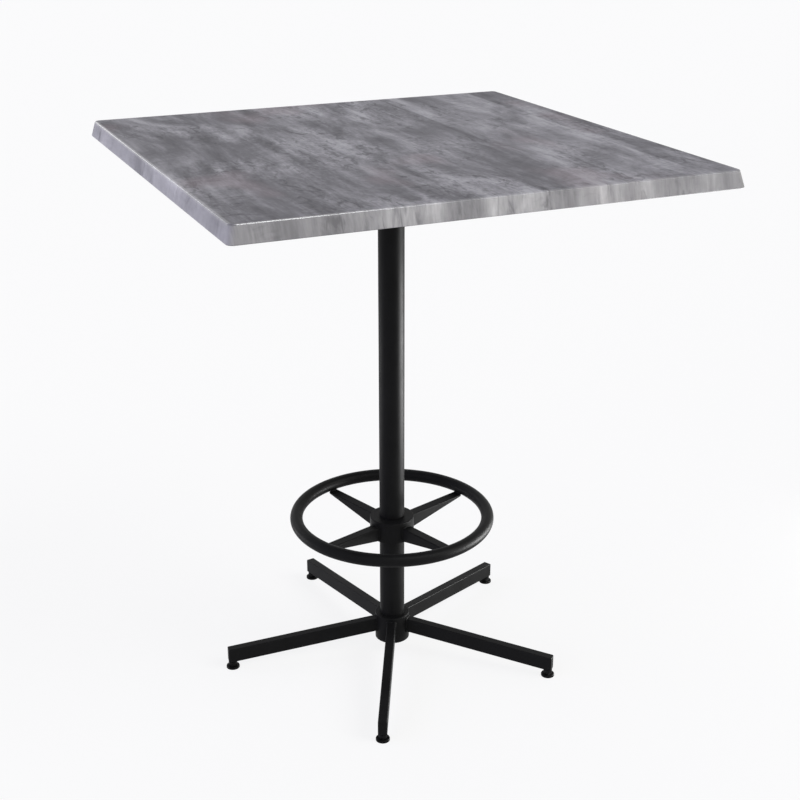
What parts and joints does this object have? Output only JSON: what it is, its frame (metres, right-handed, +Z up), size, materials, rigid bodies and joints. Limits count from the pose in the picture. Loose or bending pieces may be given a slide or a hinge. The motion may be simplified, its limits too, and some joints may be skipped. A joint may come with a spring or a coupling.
{
  "type": "pub table",
  "caption": "Bar-height square table: grey wood-look top with sloping edge on a black steel column, round foot ring on spokes and a star base of sloping legs with screw glides.",
  "frame": {"origin": "on the floor, on the axis of the column and under the centre of the top", "axes": "+Z up along the column; the sides of the square top lie along X and Y, and its front edge faces -Y; leg 1 points 26.7 degrees to the -X side of -Y"},
  "size_m": [0.9136, 0.9136, 1.0668],
  "materials": {
    "top_board": "matt laminate with a weathered grey wood look",
    "black_steel": "satin black powder coat",
    "zinc_screws": "zinc plated",
    "plain_steel": "plain turned steel",
    "black_screws": "black oxide",
    "brass_insert": "turned brass",
    "cap_plastic": "moulded black plastic",
    "pad_plastic": "moulded black plastic"
  },
  "bodies": {
    "frame": {"table_top": "top_board", "top_plate": "black_steel", "top_screws": "zinc_screws", "top_socket": "black_steel", "socket_set_screws": "black_screws", "column_tube": "black_steel", "column_plug": "plain_steel", "base_hub": "black_steel", "base_hub_disc": "black_steel", "base_washer": "zinc_screws", "base_bolt": "zinc_screws", "leg_1": "black_steel", "leg_cap_1": "cap_plastic", "glide_insert_1": "brass_insert", "leg_2": "black_steel", "leg_cap_2": "cap_plastic", "glide_insert_2": "brass_insert", "leg_3": "black_steel", "leg_cap_3": "cap_plastic", "glide_insert_3": "brass_insert", "leg_4": "black_steel", "leg_cap_4": "cap_plastic", "glide_insert_4": "brass_insert", "leg_5": "black_steel", "leg_cap_5": "cap_plastic", "glide_insert_5": "brass_insert"},
    "foot_rest": {"foot_ring": "black_steel", "ring_hub": "black_steel", "ring_set_screws": "black_screws", "ring_spoke_1": "black_steel", "ring_spoke_2": "black_steel", "ring_spoke_3": "black_steel", "ring_spoke_4": "black_steel"},
    "pad_1": {"glide_pad_1": "pad_plastic"},
    "stem_1": {"glide_stem_1": "black_screws"},
    "pad_2": {"glide_pad_2": "pad_plastic"},
    "stem_2": {"glide_stem_2": "black_screws"},
    "pad_3": {"glide_pad_3": "pad_plastic"},
    "stem_3": {"glide_stem_3": "black_screws"},
    "pad_4": {"glide_pad_4": "pad_plastic"},
    "stem_4": {"glide_stem_4": "black_screws"},
    "pad_5": {"glide_pad_5": "pad_plastic"},
    "stem_5": {"glide_stem_5": "black_screws"}
  },
  "joints": [
    {"name": "foot_rest_height", "type": "slide", "parent": "frame", "child": "foot_rest", "axis": [0, 0, 1], "range_m": [-0.18, 0.66]},
    {"name": "glide_1_height", "type": "slide", "parent": "frame", "child": "pad_1", "axis": [0, 0, -1], "range_m": [0, 0.01]},
    {"name": "glide_1_turn", "type": "hinge", "parent": "pad_1", "child": "stem_1", "pos_m": [-0.15299, -0.30419, 0.008], "axis": [0, 0, -1], "range_deg": [0, 2400]},
    {"name": "glide_2_height", "type": "slide", "parent": "frame", "child": "pad_2", "axis": [0, 0, -1], "range_m": [0, 0.01]},
    {"name": "glide_2_turn", "type": "hinge", "parent": "pad_2", "child": "stem_2", "pos_m": [0.24203, -0.23951, 0.008], "axis": [0, 0, -1], "range_deg": [0, 2400]},
    {"name": "glide_3_height", "type": "slide", "parent": "frame", "child": "pad_3", "axis": [0, 0, -1], "range_m": [0, 0.01]},
    {"name": "glide_3_turn", "type": "hinge", "parent": "pad_3", "child": "stem_3", "pos_m": [0.30257, 0.15617, 0.008], "axis": [0, 0, -1], "range_deg": [0, 2400]},
    {"name": "glide_4_height", "type": "slide", "parent": "frame", "child": "pad_4", "axis": [0, 0, -1], "range_m": [0, 0.01]},
    {"name": "glide_4_turn", "type": "hinge", "parent": "pad_4", "child": "stem_4", "pos_m": [-0.05503, 0.33602, 0.008], "axis": [0, 0, -1], "range_deg": [0, 2400]},
    {"name": "glide_5_height", "type": "slide", "parent": "frame", "child": "pad_5", "axis": [0, 0, -1], "range_m": [0, 0.01]},
    {"name": "glide_5_turn", "type": "hinge", "parent": "pad_5", "child": "stem_5", "pos_m": [-0.33658, 0.0515, 0.008], "axis": [0, 0, -1], "range_deg": [0, 2400]}
  ],
  "couplings": [
    {"joint": "glide_1_turn", "follows": "glide_1_height", "rad_per_m": 4188.8},
    {"joint": "glide_2_turn", "follows": "glide_2_height", "rad_per_m": 4188.8},
    {"joint": "glide_3_turn", "follows": "glide_3_height", "rad_per_m": 4188.8},
    {"joint": "glide_4_turn", "follows": "glide_4_height", "rad_per_m": 4188.8},
    {"joint": "glide_5_turn", "follows": "glide_5_height", "rad_per_m": 4188.8}
  ]
}
